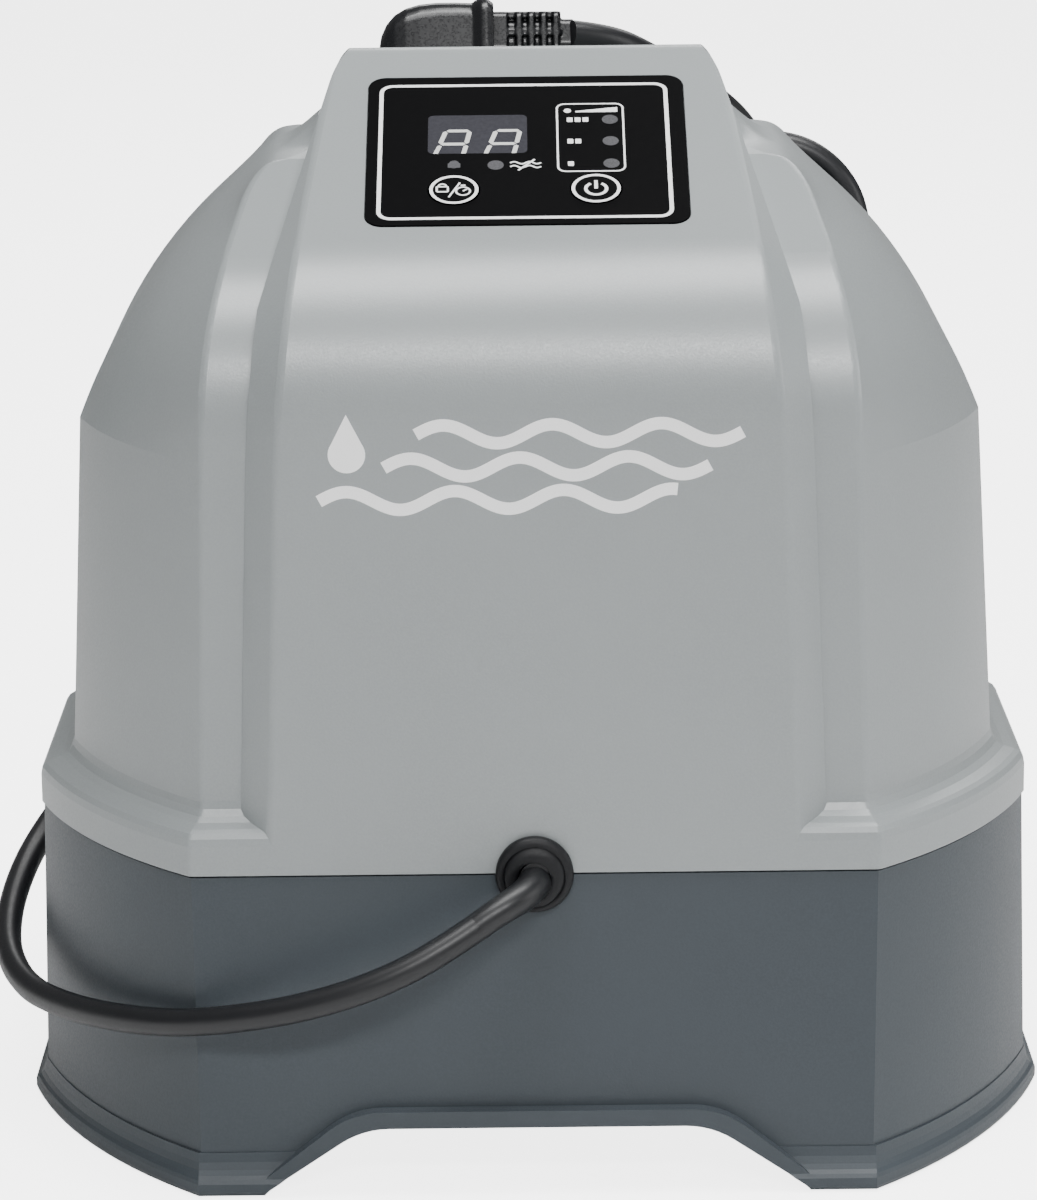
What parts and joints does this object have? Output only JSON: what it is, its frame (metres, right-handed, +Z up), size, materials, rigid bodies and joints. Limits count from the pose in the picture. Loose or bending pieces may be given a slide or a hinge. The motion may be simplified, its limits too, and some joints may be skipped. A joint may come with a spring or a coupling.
{
  "type": "salt chlorine generator",
  "caption": "Domed free-standing pool salt chlorine generator with sloping control panel, rear hose ports with union nuts, sealed electrolytic cell and mains cord.",
  "frame": {"origin": "middle of the footprint of the object without its cord, on the surface it stands on", "axes": "+X to the object's right seen from the front, +Y from the front to the back, +Z up"},
  "size_m": [0.2809, 0.2801, 0.288],
  "materials": {
    "cover_plastic": "satin moulded ABS, fine texture",
    "base_plastic": "satin moulded ABS, fine texture",
    "panel_film": "printed polyester film over a moulded plate",
    "window_smoke": "smoked clear plastic",
    "lens": "diffusing clear plastic",
    "button_film": "printed polyester film",
    "rubber_black": "matt moulded rubber",
    "cord_jacket": "matt extruded jacket",
    "plug_plastic": "moulded, satin",
    "plated_brass": "nickel plated",
    "screw_steel": "zinc plated",
    "stainless": "turned",
    "pcb": "green solder mask",
    "black_plastic": "moulded",
    "port_plastic": "moulded, satin",
    "clear_cell": "moulded",
    "titanium": "oxide coated mesh plate",
    "copper_wire": "enamelled copper winding",
    "lamination": "laminated steel",
    "ribbon_grey": "flat ribbon",
    "lead_red": "insulated wire",
    "aluminium_fin": "extruded",
    "seal_grey": "soft seal",
    "label_blank": "blank foil plate"
  },
  "bodies": {
    "housing": {"base_housing": "base_plastic", "board_screws": "screw_steel", "bonding_terminal": "stainless", "cable_grommet": "rubber_black", "capacitors": "black_plastic", "case_screws": "screw_steel", "cell_cap_seal": "seal_grey", "cell_end_cap": "clear_cell", "cell_housing": "clear_cell", "cell_leads": "lead_red", "cord_clamp": "black_plastic", "cord_hank": "cord_jacket", "cord_sleeve": "cord_jacket", "cord_tie": "black_plastic", "display_board": "pcb", "display_module": "black_plastic", "display_screws": "screw_steel", "display_spacers": "black_plastic", "display_window": "window_smoke", "electrode_plates": "titanium", "electrode_spacers": "clear_cell", "electrode_terminals": "titanium", "floor_plate": "base_plastic", "floor_plate_screws": "screw_steel", "flow_paddle_pin": "stainless", "flow_sensor_body": "black_plastic", "fuse_holder": "black_plastic", "heat_sink": "aluminium_fin", "indicator_leds": "lens", "indicator_lenses": "lens", "inlet_hose_adapter": "port_plastic", "inner_mains_lead": "cord_jacket", "main_board": "pcb", "outlet_hose_adapter": "port_plastic", "panel_overlay": "panel_film", "plug_body": "plug_plastic", "plug_lead": "cord_jacket", "plug_pins": "plated_brass", "plug_strain_relief": "plug_plastic", "port_seals": "seal_grey", "power_cord": "cord_jacket", "rating_plate": "label_blank", "rectifier": "black_plastic", "relay": "black_plastic", "ribbon_cable": "ribbon_grey", "rubber_feet": "rubber_black", "seam_gasket": "seal_grey", "tactile_switches": "black_plastic", "terminal_block": "port_plastic", "top_cover": "cover_plastic", "transformer_bracket": "screw_steel", "transformer_coil": "copper_wire", "transformer_core": "lamination", "transformer_screws": "screw_steel"},
    "power_button": {"power_button": "button_film"},
    "timer_lock_button": {"timer_lock_button": "button_film"},
    "flow_paddle": {"flow_paddle": "clear_cell"},
    "inlet_nut": {"inlet_nut": "port_plastic"},
    "outlet_nut": {"outlet_nut": "port_plastic"}
  },
  "joints": [
    {"name": "power_button_press", "type": "slide", "parent": "housing", "child": "power_button", "axis": [0, 0.4446, -0.8957], "range_m": [0, 0.0006], "stiffness_N_per_m": 1500},
    {"name": "timer_lock_button_press", "type": "slide", "parent": "housing", "child": "timer_lock_button", "axis": [0, 0.4446, -0.8957], "range_m": [0, 0.0006], "stiffness_N_per_m": 1500},
    {"name": "flow_paddle_swing", "type": "hinge", "parent": "housing", "child": "flow_paddle", "pos_m": [-0.07, 0.052, 0.0675], "axis": [1, 0, 0], "range_deg": [-28, 0], "stiffness_Nm_per_rad": 0.002},
    {"name": "inlet_nut_turn", "type": "hinge", "parent": "housing", "child": "inlet_nut", "pos_m": [-0.07, 0.099, 0.051], "axis": [0, 1, 0], "continuous": true},
    {"name": "outlet_nut_turn", "type": "hinge", "parent": "housing", "child": "outlet_nut", "pos_m": [0, 0.099, 0.051], "axis": [0, 1, 0], "continuous": true}
  ]
}
